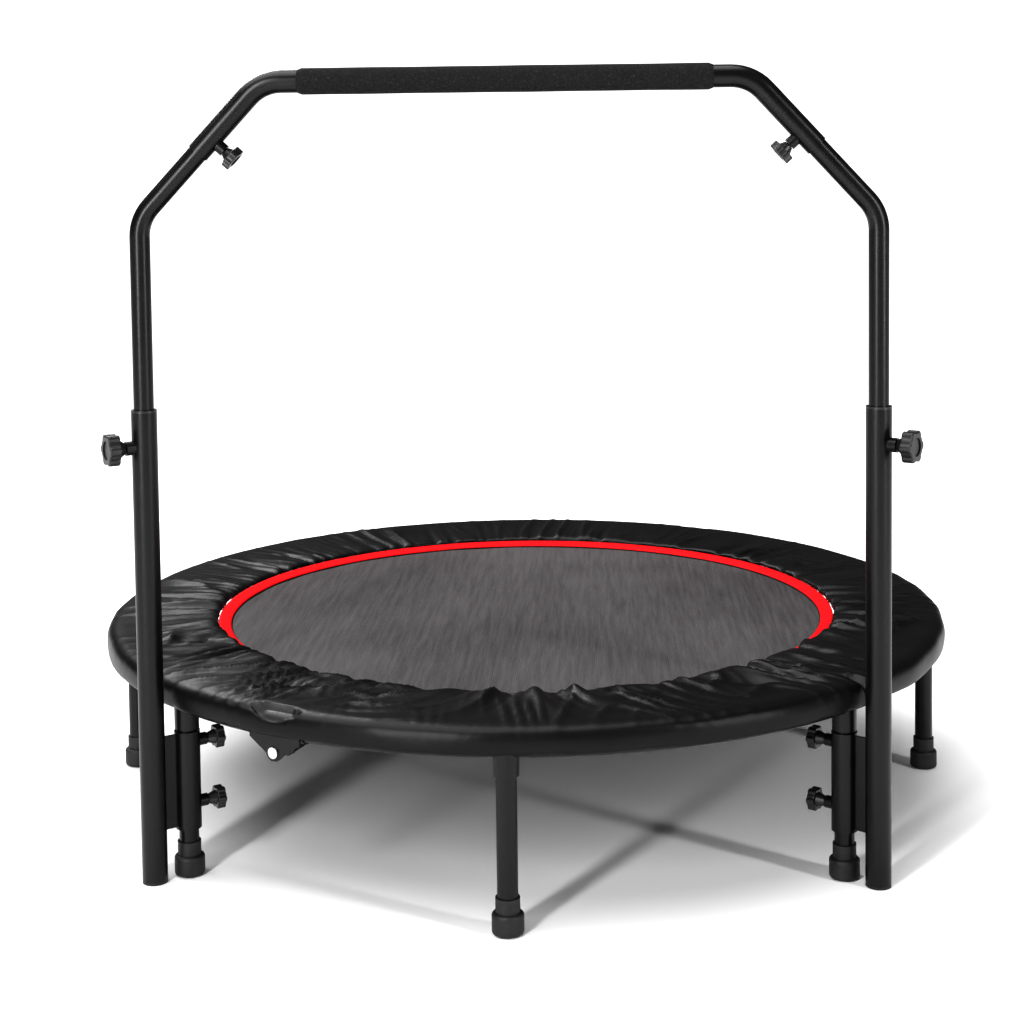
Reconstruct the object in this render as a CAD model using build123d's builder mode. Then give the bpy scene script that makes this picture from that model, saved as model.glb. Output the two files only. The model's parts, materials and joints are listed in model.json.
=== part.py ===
from build123d import *
from math import cos, degrees, hypot, pi, radians, sin
import os

# Folding fitness trampoline with a bolt-on handle bar.
# The origin is on the floor under the centre of the mat, the handle is on the -Y side, +Z is up.
# Half A of the frame holds the front, front right, right and back right sockets, half B the others.

os.makedirs("parts", exist_ok=True)

# ---- frame ring ----
ring_r = 589.0            # centre line of the frame tube
ring_tube_r = 16.0
tube_wall = 1.5
ring_z = 227.0            # height of the tube's centre line
half_gap = 1.0            # between the two halves at the fold
fold_angle = -118.0       # where the fold line leaves the front of the ring

# ---- fold hinges ----
pivot_z = 197.0
pin_r = 4.0
pin_head_r = 7.0
pin_head_t = 2.2
ear_tip_r = 11.0
ear_t = 3.0
ear_gap = 0.4             # between the two brackets' ears
ear_reach = 40.0          # how far a bracket goes along its own half
ear_rise = 24.0           # from the pivot up to the tube
ear_out = 14.5            # from the tube's centre line to the middle of an outer ear
sleeve_wall = 1.6
plug_length = 14.0

# ---- legs ----
leg_count = 8
leg_r = 12.5
leg_top_z = 202.0
stud_r = 5.0
stud_length = 7.0
insert_length = 12.0
socket_mouth_z = 190.0
socket_clearance = 1.0
socket_wall = 2.0
socket_plate_t = 5.0
socket_plate_gap = 2.5    # above the leg's top
foot_r = 19.25
foot_low_h = 26.0
foot_collar_r = 14.7
foot_h = 44.0
foot_floor_t = 8.0
foot_edge_r = 4.0

# ---- mat, springs and cover ----
mat_r = 452.0
mat_t = 1.5
mat_top_z = 236.0
border_inner_r = 434.0
border_lift = 4.9         # how much the border's outer edge stands above its inner edge
border_t = 1.2
hem_edge_t = 0.6
spring_count = 36
spring_r = 5.5
spring_wire_r = 1.4
spring_z = 232.0
spring_body_length = 78.0
vring_t = 3.0
vring_length = 24.0
vring_width = 26.0
vring_bar = 4.0
cover_outer_r = 610.0
cover_inner_r = 452.6
cover_t = 3.0
cover_hem_z = 216.0
cover_crown_z = 252.0
cover_inner_z = 246.4
cover_shoulder_r = 9.0
crown_inner_r = 568.0

# ---- handle ----
post_x = 455.0
post_y = -443.0
post_r = 16.0
post_top_z = 599.0
cap_t = 3.0
cap_plug_length = 15.0
slide_gap = 0.3           # between a bush and the tube in it
bush_length = 30.0
bush_rim_t = 3.0
side_tube_r = 12.5
side_tube_low_z = 380.0
lower_corner_z = 839.0
upper_corner_x = 300.0
bar_z = 1007.0
bend_r = 55.0
top_tube_r = 14.0
top_tube_wall = 1.3
sleeve_start = 111.0      # along the slope, from the lower corner to the top tube's end
sleeve_overlap = 74.0
grip_length = 498.0
grip_r = 16.5
height_hole_pitch = 40.0
height_hole_count = 4

# ---- clamps ----
collar_gap = 0.4
collar_wall = 3.3
collar_low_z = 61.0
collar_high_z = 187.0
web_t = 4.0
web_inset = 3.0           # from the collar's ends to the web's

# ---- knobs ----
screw_clearance = 0.3
neck_gap = 1.0            # between a neck and the nut that its screw turns in
knob_face_recess = 1.6
boss_length = 9.0
boss_wall = 3.8
height_knob_z = 555.0
height_knob_turn = 33.0   # forward of straight out
clamp_knob_z = (92.0, 172.0)
shoulder_knob_at = 24.0   # up the slope from the top tube's end


# ---- helpers ----
def save(piece, name):
    """Label one sub-part and write it."""
    piece.label = name
    export_step(piece, f"parts/{name}.step")


def half_plane(side):
    """The cutting plane at the fold, whose upper side is the wanted half."""
    turn = radians(fold_angle + (90 if side == "a" else -90))
    normal = Vector(cos(turn), sin(turn), 0)
    return Plane(origin=normal * (half_gap / 2), z_dir=normal)


def half_ring(outline, side):
    """One half of a ring whose section is a closed outline of (radius, height) points."""
    with BuildPart() as ring:
        with BuildSketch(Plane.XZ):
            Polygon(*outline, align=None)
        revolve(axis=Axis.Z)
        split(bisect_by=half_plane(side))
    return ring.part


def radial_plane(angle):
    """An upright plane through the centre: its X points outwards, its Y up."""
    turn = radians(angle)
    return Plane(origin=(0, 0, 0), x_dir=(cos(turn), sin(turn), 0), z_dir=(sin(turn), -cos(turn), 0))


def ring_arc(start, sweep, outer, inner):
    """A stretch of tube round the frame's centre line."""
    with BuildPart() as arc:
        with BuildSketch(radial_plane(start)):
            with Locations((ring_r, ring_z)):
                Circle(outer)
                if inner:
                    Circle(inner, mode=Mode.SUBTRACT)
        revolve(axis=Axis.Z, revolution_arc=sweep)
    return arc.part


def leg_angles(side):
    """The angles of the sockets on one half."""
    first = -90 if side == "a" else 90
    return [first + 45 * k for k in range(leg_count // 2)]


def ring_point(angle, radius=ring_r, z=0.0):
    """A point at an angle and a radius from the centre."""
    return Vector(radius * cos(radians(angle)), radius * sin(radians(angle)), z)


# ---- frame tubes, end plugs and leg sockets ----
end_step = degrees(half_gap / 2 / ring_r)
for side in "ab":
    with BuildPart() as frame_tube:
        with BuildSketch(Plane.XZ):
            with Locations((ring_r, ring_z)):
                Circle(ring_tube_r)
                Circle(ring_tube_r - tube_wall, mode=Mode.SUBTRACT)
        revolve(axis=Axis.Z)
        split(bisect_by=half_plane(side))
    save(frame_tube.part, f"frame_tube_{side}")

    first = fold_angle if side == "a" else fold_angle + 180
    plug_sweep = degrees(plug_length / ring_r)
    bore_r = ring_tube_r - tube_wall
    plugs = [
        ring_arc(first + end_step, plug_sweep, bore_r, 0),
        ring_arc(first + 180 - end_step - plug_sweep, plug_sweep, bore_r, 0),
    ]
    save(Compound(children=plugs), f"end_plugs_{side}")

    cup_r = leg_r + socket_clearance
    plate_z = leg_top_z + socket_plate_gap
    with BuildPart() as leg_sockets:
        spots = [ring_point(angle) for angle in leg_angles(side)]
        with BuildSketch(Plane.XY.offset(socket_mouth_z)):
            with Locations(*spots):
                Circle(cup_r + socket_wall)
        extrude(amount=ring_z - ring_tube_r / 2 - socket_mouth_z)
        with BuildSketch(Plane.XY.offset(socket_mouth_z)):
            with Locations(*spots):
                Circle(cup_r)
        extrude(amount=plate_z - socket_mouth_z, mode=Mode.SUBTRACT)
        with BuildSketch(Plane.XY.offset(plate_z)):
            with Locations(*spots):
                Circle(stud_r + screw_clearance)
        extrude(amount=socket_plate_t, mode=Mode.SUBTRACT)
        with BuildSketch(Plane.XY.offset(plate_z + socket_plate_t)):
            with Locations(*spots):
                Circle(cup_r)
        extrude(amount=ring_z - plate_z, mode=Mode.SUBTRACT)
        with BuildSketch(Plane.XZ):
            with Locations((ring_r, ring_z)):
                Circle(ring_tube_r)
        revolve(axis=Axis.Z, mode=Mode.SUBTRACT)
    save(leg_sockets.part, f"leg_sockets_{side}")


# ---- fold hinges: a sleeve round each tube end with an outer and an inner ear, and two pins ----
def fold_bracket(side, hinge):
    """The bracket of one half at one end of the fold line."""
    out = Vector(cos(radians(hinge)), sin(radians(hinge)), 0)
    along = Vector(-out.Y, out.X, 0)
    ahead = (side == "a") == (hinge == fold_angle)
    own = 1 if ahead else -1
    sweep = degrees(ear_reach / ring_r)
    start = hinge + end_step if ahead else hinge - end_step - sweep
    hole_r = pin_r + (0.05 if side == "a" else screw_clearance)
    inset = 0 if side == "a" else ear_t + ear_gap
    with BuildPart() as bracket:
        with BuildSketch(radial_plane(start)):
            with Locations((ring_r, ring_z)):
                Circle(ring_tube_r + sleeve_wall)
        revolve(axis=Axis.Z, revolution_arc=sweep)
        for place in (ring_r + ear_out - inset, ring_r - ear_out + inset):
            spot = out * place + Vector(0, 0, pivot_z)
            with BuildSketch(Plane(origin=spot, x_dir=along * own, z_dir=out * own)):
                Circle(ear_tip_r)
                Polygon(
                    (1.5, ear_rise),
                    (ear_reach - 1, ear_rise),
                    (ear_reach - 1, ear_rise - 10),
                    (0.82 * ear_tip_r, -0.57 * ear_tip_r),
                    (-0.7 * ear_tip_r, 0.7 * ear_tip_r),
                    (1.5, 0.7 * ear_tip_r + 9.2),
                    align=None,
                )
                Circle(hole_r, mode=Mode.SUBTRACT)
            extrude(amount=ear_t / 2, both=True)
        with BuildSketch(Plane.XZ):
            with Locations((ring_r, ring_z)):
                Circle(ring_tube_r)
        revolve(axis=Axis.Z, mode=Mode.SUBTRACT)
    return bracket.part


for side in "ab":
    brackets = [fold_bracket(side, fold_angle), fold_bracket(side, fold_angle + 180)]
    save(Compound(children=brackets), f"hinge_brackets_{side}")

ear_outside = ear_out + ear_t / 2
with BuildPart() as hinge_pins:
    for hinge in (fold_angle, fold_angle + 180):
        out = Vector(cos(radians(hinge)), sin(radians(hinge)), 0)
        start = out * (ring_r - ear_outside) + Vector(0, 0, pivot_z)
        with BuildSketch(Plane(origin=start, z_dir=out)):
            Circle(pin_r)
        extrude(amount=2 * ear_outside)
        with BuildSketch(Plane(origin=start, z_dir=-out)):
            Circle(pin_head_r)
        extrude(amount=pin_head_t)
        with BuildSketch(Plane(origin=start + out * (2 * ear_outside), z_dir=out)):
            Circle(pin_head_r)
        extrude(amount=pin_head_t)
save(hinge_pins.part, "hinge_pins")

# ---- mat, its hem and border, the spring rings, the springs and the cover ----
mat_low_z = mat_top_z - mat_t
hem_low_z = mat_top_z + hem_edge_t
hem_high_z = hem_low_z + border_lift
cover_mid_r = cover_outer_r - cover_shoulder_r
mat_outline = [(0, mat_low_z), (mat_r, mat_low_z), (mat_r, mat_top_z), (0, mat_top_z)]
hem_outline = [
    (border_inner_r, mat_top_z), (mat_r, mat_top_z), (mat_r, hem_high_z), (border_inner_r, hem_low_z),
]
border_outline = [
    (border_inner_r, hem_low_z), (mat_r, hem_high_z),
    (mat_r, hem_high_z + border_t), (border_inner_r, hem_low_z + border_t),
]
cover_outline = [
    (cover_outer_r - cover_t, cover_hem_z),
    (cover_outer_r, cover_hem_z),
    (cover_outer_r, cover_crown_z - cover_shoulder_r),
    (cover_outer_r - 0.3 * cover_shoulder_r, cover_crown_z - 0.3 * cover_shoulder_r),
    (cover_mid_r, cover_crown_z),
    (crown_inner_r, cover_crown_z),
    (cover_inner_r, cover_inner_z),
    (cover_inner_r, cover_inner_z - cover_t),
    (crown_inner_r, cover_crown_z - cover_t),
    (cover_mid_r, cover_crown_z - cover_t),
    (cover_outer_r - cover_t, cover_crown_z - cover_shoulder_r),
]
vring_outer_r = mat_r - 6 + vring_length
frame_inner_r = ring_r - ring_tube_r
spring_start_r = vring_outer_r + 0.2
spring_end_r = frame_inner_r - 0.3
spring_body_start = (spring_start_r + spring_end_r - spring_body_length) / 2
for side in "ab":
    save(half_ring(mat_outline, side), f"mat_{side}")
    save(half_ring(hem_outline, side), f"mat_hem_{side}")
    save(half_ring(border_outline, side), f"red_border_{side}")
    save(half_ring(cover_outline, side), f"spring_cover_{side}")

    first = fold_angle + 180 / spring_count + (0 if side == "a" else 180)
    angles = [first + 360 / spring_count * k for k in range(spring_count // 2)]
    with BuildPart() as mat_rings:
        for angle in angles:
            spot = ring_point(angle, vring_outer_r, spring_z - vring_t / 2)
            with BuildSketch(Plane(origin=spot, x_dir=ring_point(angle, 1), z_dir=(0, 0, 1))):
                Polygon((0, 0), (-vring_length, vring_width / 2), (-vring_length, -vring_width / 2), align=None)
                offset(amount=-vring_bar, mode=Mode.SUBTRACT)
            extrude(amount=vring_t)
    save(mat_rings.part, f"mat_rings_{side}")

    with BuildPart() as springs:
        for angle in angles:
            upright = radial_plane(angle)
            with BuildSketch(upright):
                with Locations(((spring_start_r + spring_end_r) / 2, spring_z + spring_wire_r / 2)):
                    Rectangle(spring_end_r - spring_start_r, spring_wire_r)
                with Locations((spring_body_start + spring_body_length / 2, spring_z + spring_r / 2)):
                    Rectangle(spring_body_length, spring_r)
            revolve(axis=Axis(ring_point(angle, 1, spring_z), ring_point(angle, 1)))
    save(springs.part, f"springs_{side}")

# ---- legs and feet ----
leg_names = {
    -90: "front", -45: "front_right", 0: "right", 45: "back_right",
    90: "back", 135: "back_left", 180: "left", 225: "front_left",
}
clamped_legs = ("front_left", "front_right")
for angle, name in leg_names.items():
    spot = ring_point(angle)
    with BuildPart() as leg_tube:
        with BuildSketch(Plane.XY.offset(foot_floor_t)):
            with Locations(spot):
                Circle(leg_r)
                Circle(leg_r - tube_wall, mode=Mode.SUBTRACT)
        extrude(amount=leg_top_z - foot_floor_t)
    with BuildPart() as leg_insert:
        with BuildSketch(Plane.XY.offset(leg_top_z - insert_length)):
            with Locations(spot):
                Circle(leg_r - tube_wall)
        extrude(amount=insert_length)
        if name not in clamped_legs:
            with BuildSketch(Plane.XY.offset(leg_top_z)):
                with Locations(spot):
                    Circle(stud_r)
            extrude(amount=stud_length)
    save(Compound(children=[leg_tube.part, leg_insert.part]), f"leg_{name}")

    with BuildPart() as foot:
        with BuildSketch(Plane.XY):
            with Locations(spot):
                Circle(foot_r)
        extrude(amount=foot_low_h)
        fillet(foot.edges().filter_by(GeomType.CIRCLE), radius=foot_edge_r)
        with BuildSketch(Plane.XY.offset(foot_low_h)):
            with Locations(spot):
                Circle(foot_collar_r)
        extrude(amount=foot_h - foot_low_h)
        with BuildSketch(Plane.XY.offset(foot_floor_t)):
            with Locations(spot):
                Circle(leg_r + 0.05)
        extrude(amount=foot_h - foot_floor_t, mode=Mode.SUBTRACT)
    save(foot.part, f"foot_{name}")


# ---- knobs and bosses ----
def hole(origin, direction, radius, length):
    """A round hole to cut, from a point along a direction."""
    with BuildPart() as cut:
        with BuildSketch(Plane(origin=origin, z_dir=direction)):
            Circle(radius)
        extrude(amount=length)
    return cut.part


def knob(name, origin, direction, head_r, head_t, screw_r, tip, nut_end, head_at):
    """A lobed head with a neck, and the screw moulded into it, along a direction from origin."""
    lobe_r = 0.3 * head_r
    bore_depth = 0.5 * head_t
    with BuildPart() as head:
        with BuildSketch(Plane(origin=origin + direction * head_at, z_dir=direction)):
            Circle(0.86 * head_r)
            with PolarLocations(head_r - lobe_r, 6):
                Circle(lobe_r)
        extrude(amount=head_t)
        rims = head.edges().filter_by(lambda e: e.geom_type == GeomType.CIRCLE)
        fillet(rims.filter_by(lambda e: abs(e.tangent_at(0).dot(direction)) < 0.01), radius=0.12 * head_t)
        with BuildSketch(Plane(origin=origin + direction * (head_at + head_t), z_dir=-direction)):
            Circle(0.55 * head_r)
        extrude(amount=knob_face_recess, mode=Mode.SUBTRACT)
        with BuildSketch(Plane(origin=origin + direction * head_at, z_dir=-direction)):
            Circle(0.62 * head_r)
        neck_length = head_at - nut_end - neck_gap
        with BuildSketch(Plane(origin=origin + direction * (head_at - neck_length), z_dir=-direction)):
            Circle(screw_r + 2)
        loft()
        with BuildSketch(Plane(origin=origin + direction * (head_at - neck_length), z_dir=direction)):
            Circle(screw_r + 0.02)
        extrude(amount=neck_length + bore_depth, mode=Mode.SUBTRACT)
    with BuildPart() as screw:
        with BuildSketch(Plane(origin=origin + direction * tip, z_dir=direction)):
            Circle(screw_r)
        extrude(amount=head_at + bore_depth - tip)
    save(Compound(children=[head.part, screw.part]), name)


def boss(origin, direction, screw_r, tube_outer_r, tube_axis):
    """A nut welded on a tube, saddled to the tube's wall."""
    with BuildPart() as nut:
        with BuildSketch(Plane(origin=origin + direction * (0.6 * tube_outer_r), z_dir=direction)):
            Circle(screw_r + boss_wall)
        extrude(amount=0.4 * tube_outer_r + boss_length)
        add(hole(origin, direction, screw_r + screw_clearance, tube_outer_r + 2 * boss_length), mode=Mode.SUBTRACT)
        with BuildSketch(Plane(origin=origin - tube_axis * tube_outer_r * 2, z_dir=tube_axis)):
            Circle(tube_outer_r)
        extrude(amount=4 * tube_outer_r, mode=Mode.SUBTRACT)
    return nut.part


# ---- handle: sizes that follow ----
height_screw_r = 5.0
clamp_screw_r = 4.0
leg_x = ring_r * cos(pi / 4)
leg_y = -leg_x
collar_r = leg_r + collar_gap + collar_wall
slope = Vector(post_x - upper_corner_x, 0, bar_z - lower_corner_z).normalized()
slope_length = hypot(post_x - upper_corner_x, bar_z - lower_corner_z)
up = Vector(0, 0, 1)
post_bosses = []
shoulder_bosses = []
caps = []
bushes = []

for mirror_x, name in ((-1, "left"), (1, "right")):
    post_axis = Vector(mirror_x * post_x, post_y, 0)
    leg_axis = Vector(mirror_x * leg_x, leg_y, 0)
    inward = (leg_axis - post_axis).normalized()
    turn = radians(height_knob_turn)
    outward = Vector(mirror_x * cos(turn), -sin(turn), 0)
    knob_spot = post_axis + up * height_knob_z

    with BuildPart() as post:
        with BuildSketch(Plane.XY.offset(cap_t)):
            with Locations(post_axis):
                Circle(post_r)
                Circle(post_r - tube_wall, mode=Mode.SUBTRACT)
        extrude(amount=post_top_z - cap_t)
        add(hole(knob_spot, outward, height_screw_r + screw_clearance, 2 * post_r), mode=Mode.SUBTRACT)
    save(post.part, f"post_{name}")

    with BuildPart() as cap:
        with BuildSketch(Plane.XY):
            with Locations(post_axis):
                Circle(post_r)
        extrude(amount=cap_t)
        with BuildSketch(Plane.XY.offset(cap_t)):
            with Locations(post_axis):
                Circle(post_r - tube_wall)
        extrude(amount=cap_plug_length)
    caps.append(cap.part)

    with BuildPart() as bush:
        with BuildSketch(Plane.XY.offset(post_top_z - bush_length)):
            with Locations(post_axis):
                Circle(post_r - tube_wall)
        extrude(amount=bush_length)
        with BuildSketch(Plane.XY.offset(post_top_z)):
            with Locations(post_axis):
                Circle(post_r)
        extrude(amount=bush_rim_t)
        with BuildSketch(Plane.XY.offset(post_top_z - bush_length)):
            with Locations(post_axis):
                Circle(side_tube_r + slide_gap)
        extrude(amount=bush_length + bush_rim_t, mode=Mode.SUBTRACT)
    bushes.append(bush.part)

    # collar round the leg and the web plate that joins it to the post
    with BuildPart() as clamp:
        with BuildSketch(Plane.XY.offset(collar_low_z)):
            with Locations(leg_axis):
                Circle(collar_r)
        extrude(amount=collar_high_z - collar_low_z)
        middle = (leg_axis + post_axis) * 0.5 + up * (collar_low_z + web_inset)
        with BuildSketch(Plane(origin=middle, x_dir=inward, z_dir=(0, 0, 1))):
            Rectangle((leg_axis - post_axis).length, web_t)
        extrude(amount=collar_high_z - collar_low_z - 2 * web_inset)
        with BuildSketch(Plane.XY):
            with Locations(leg_axis):
                Circle(leg_r + collar_gap)
            with Locations(post_axis):
                Circle(post_r)
        extrude(amount=post_top_z, mode=Mode.SUBTRACT)
        for knob_z in clamp_knob_z:
            spot = leg_axis + up * knob_z
            add(hole(spot, inward, clamp_screw_r + screw_clearance, 2 * collar_r), mode=Mode.SUBTRACT)
    save(clamp.part, f"clamp_{name}")

    # bent side tube: up the post, round the lower corner and part of the way up the slope
    up_slope = Vector(-mirror_x * slope.X, 0, slope.Z)
    corner = post_axis + up * lower_corner_z
    low_end = post_axis + up * side_tube_low_z
    with BuildPart() as side_tube:
        with BuildLine():
            FilletPolyline(low_end, corner, corner + up_slope * (sleeve_start + sleeve_overlap), radius=bend_r)
        with BuildSketch(Plane(origin=low_end, z_dir=(0, 0, 1))):
            Circle(side_tube_r)
            Circle(side_tube_r - tube_wall, mode=Mode.SUBTRACT)
        sweep()
        for step in range(height_hole_count):
            hole_spot = knob_spot - up * (height_hole_pitch * step)
            add(hole(hole_spot, outward, height_screw_r + screw_clearance, 2 * side_tube_r), mode=Mode.SUBTRACT)
    save(side_tube.part, f"side_tube_{name}")

    # knobs and the nuts they turn in
    post_bosses.append(boss(knob_spot, outward, height_screw_r, post_r, up))
    knob(
        f"knob_height_{name}", knob_spot, outward, 21.0, 15.0, height_screw_r,
        side_tube_r + 0.4, post_r + boss_length, post_r + boss_length + 10,
    )
    for knob_z, level in zip(clamp_knob_z, ("lower", "upper")):
        spot = leg_axis + up * knob_z
        post_bosses.append(boss(spot, inward, clamp_screw_r, collar_r, up))
        knob(
            f"knob_clamp_{name}_{level}", spot, inward, 15.0, 11.0, clamp_screw_r,
            leg_r + 0.4, collar_r + boss_length, collar_r + boss_length + 11,
        )
    below = Vector(-mirror_x * slope.Z, 0, -slope.X)
    spot = corner + up_slope * (sleeve_start + shoulder_knob_at)
    shoulder_bosses.append(boss(spot, below, clamp_screw_r, top_tube_r, up_slope))
    knob(
        f"knob_shoulder_{name}", spot, below, 15.0, 10.0, clamp_screw_r,
        side_tube_r + 0.4, top_tube_r + boss_length, top_tube_r + boss_length + 8,
    )

save(Compound(children=caps), "post_caps")
save(Compound(children=bushes), "post_bushes")
save(Compound(children=post_bosses), "base_weld_nuts")
save(Compound(children=shoulder_bosses), "shoulder_weld_nuts")

# ---- top tube and grip ----
end_x = post_x - slope.X * sleeve_start
end_z = lower_corner_z + slope.Z * sleeve_start
left_end = Vector(-end_x, post_y, end_z)
with BuildPart() as top_tube:
    with BuildLine():
        FilletPolyline(
            left_end,
            (-upper_corner_x, post_y, bar_z),
            (upper_corner_x, post_y, bar_z),
            (end_x, post_y, end_z),
            radius=bend_r,
        )
    with BuildSketch(Plane(origin=left_end, z_dir=slope)):
        Circle(top_tube_r)
        Circle(top_tube_r - top_tube_wall, mode=Mode.SUBTRACT)
    sweep()
    for mirror_x in (-1, 1):
        up_slope = Vector(-mirror_x * slope.X, 0, slope.Z)
        below = Vector(-mirror_x * slope.Z, 0, -slope.X)
        spot = Vector(mirror_x * end_x, post_y, end_z) + up_slope * shoulder_knob_at
        add(hole(spot, below, clamp_screw_r + screw_clearance, 2 * top_tube_r), mode=Mode.SUBTRACT)
save(top_tube.part, "top_tube")

with BuildPart() as foam_grip:
    with BuildSketch(Plane(origin=(-grip_length / 2, post_y, bar_z), z_dir=(1, 0, 0))):
        Circle(grip_r)
        Circle(top_tube_r + 0.05, mode=Mode.SUBTRACT)
    extrude(amount=grip_length)
    rims = foam_grip.edges().filter_by(GeomType.CIRCLE)
    fillet(rims.filter_by(lambda e: e.radius > top_tube_r + 1), radius=1.0)
save(foam_grip.part, "foam_grip")
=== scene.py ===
"""The looks of a folding fitness trampoline with a bolt-on handle bar.

The frame, legs, handle and knobs are the CAD model's own pieces with finishes added here.
The soft goods, the springs and the grip are modelled here and stand for the CAD model's plain solids.
"""

import json
import logging
import math
from dataclasses import dataclass, field
from enum import Enum

import bmesh
import bpy
import numpy as np
from mathutils import Matrix, Vector

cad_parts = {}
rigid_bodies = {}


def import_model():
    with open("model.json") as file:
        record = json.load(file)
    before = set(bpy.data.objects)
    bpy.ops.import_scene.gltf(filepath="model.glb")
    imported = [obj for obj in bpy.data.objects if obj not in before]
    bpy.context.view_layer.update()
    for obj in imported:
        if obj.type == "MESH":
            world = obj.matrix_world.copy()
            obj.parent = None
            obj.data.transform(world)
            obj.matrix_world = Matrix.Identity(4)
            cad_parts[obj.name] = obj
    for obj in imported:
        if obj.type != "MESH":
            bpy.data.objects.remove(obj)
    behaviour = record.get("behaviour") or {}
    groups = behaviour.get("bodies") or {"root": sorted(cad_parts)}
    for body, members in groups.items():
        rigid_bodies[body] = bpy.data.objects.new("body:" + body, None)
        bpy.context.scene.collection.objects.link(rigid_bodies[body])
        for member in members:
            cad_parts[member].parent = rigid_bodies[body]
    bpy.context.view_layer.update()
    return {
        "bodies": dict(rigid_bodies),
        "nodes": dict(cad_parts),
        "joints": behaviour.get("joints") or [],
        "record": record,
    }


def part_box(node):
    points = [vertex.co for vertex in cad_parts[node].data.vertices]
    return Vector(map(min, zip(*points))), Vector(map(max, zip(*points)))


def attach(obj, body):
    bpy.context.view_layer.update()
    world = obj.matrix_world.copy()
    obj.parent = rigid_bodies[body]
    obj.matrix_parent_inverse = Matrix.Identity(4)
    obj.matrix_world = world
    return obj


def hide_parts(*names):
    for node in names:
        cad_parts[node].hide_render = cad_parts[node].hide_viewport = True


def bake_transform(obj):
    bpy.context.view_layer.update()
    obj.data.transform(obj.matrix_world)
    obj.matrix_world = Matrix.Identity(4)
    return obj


LOG = logging.getLogger("trampoline")
MM = 0.001
FOLD_DEG = -118.0
HALF_A, HALF_B = "frame_a", "frame_b"


class Slot(Enum):
    """The record's material slots."""

    POWDER = "powder_coat"
    RUBBER = "rubber"
    PLASTIC = "plastic"
    ZINC = "zinc"
    COVER = "cover_cloth"
    MAT = "mat_cloth"
    WEBBING = "webbing"
    BAND = "red_band"
    FOAM = "foam"


# ---------------------------------------------------------------- finishes
class Shader:
    """A material being put together from nodes."""

    def __init__(self, name: str) -> None:
        """Start a material with one principled shader."""
        self.material = bpy.data.materials.new(name)
        self.material.use_nodes = True
        self.nodes = self.material.node_tree.nodes
        self.links = self.material.node_tree.links
        self.surface = self.nodes["Principled BSDF"]

    def add(self, kind: str, **values: object) -> bpy.types.Node:
        """Add a node.

        Args:
            kind: The node's type name.
            values: Attributes of the node; names of its inputs may be given with spaces as _.

        Returns:
            The new node.
        """
        node = self.nodes.new(kind)
        for key, value in values.items():
            if hasattr(node, key):
                setattr(node, key, value)
            else:
                node.inputs[key.replace("_", " ")].default_value = value
        return node

    def set(self, **values: object) -> None:
        """Set the principled shader's own sockets."""
        for key, value in values.items():
            self.surface.inputs[key.replace("_", " ")].default_value = value

    def link(self, source: bpy.types.NodeSocket, target: bpy.types.NodeSocket) -> None:
        """Join two sockets."""
        self.links.new(source, target)

    def place(self, use_uv: bool, scale: tuple[float, float, float]) -> bpy.types.NodeSocket:
        """Coordinates on the piece.

        Args:
            use_uv: Read the piece's UV map in place of its object coordinates.
            scale: How often the pattern repeats, along each axis.

        Returns:
            The scaled vector.
        """
        coordinates = self.add("ShaderNodeTexCoord")
        mapping = self.add("ShaderNodeMapping")
        mapping.inputs["Scale"].default_value = scale
        self.link(coordinates.outputs["UV" if use_uv else "Object"], mapping.inputs["Vector"])
        return mapping.outputs["Vector"]

    def ramp(self, source: bpy.types.NodeSocket, stops: list[tuple[float, tuple]]) -> bpy.types.NodeSocket:
        """Map a value to colours.

        Args:
            source: The value.
            stops: Positions with their colours.

        Returns:
            The ramp's colour.
        """
        node = self.add("ShaderNodeValToRGB")
        elements = node.color_ramp.elements
        while len(elements) < len(stops):
            elements.new(0.5)
        for element, (position, colour) in zip(elements, stops):
            element.position = position
            element.color = (*colour, 1.0)
        self.link(source, node.inputs["Fac"])
        return node.outputs["Color"]

    def bump(self, height: bpy.types.NodeSocket, distance: float, strength: float,
             before: bpy.types.NodeSocket | None = None) -> bpy.types.NodeSocket:
        """Turn a height into a normal.

        Args:
            height: The height, from 0 to 1.
            distance: What a height of 1 stands for, in metres.
            strength: How much of it shows.
            before: A normal to add it to.

        Returns:
            The normal.
        """
        node = self.add("ShaderNodeBump")
        node.inputs["Distance"].default_value = distance
        node.inputs["Strength"].default_value = strength
        self.link(height, node.inputs["Height"])
        if before is not None:
            self.link(before, node.inputs["Normal"])
        return node.outputs["Normal"]


def grey(value: float, warm: float = 0.0) -> tuple[float, float, float]:
    """A grey with a little red and blue in it."""
    return (value * (1 + warm), value, value * (1 + 0.6 * warm))


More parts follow.
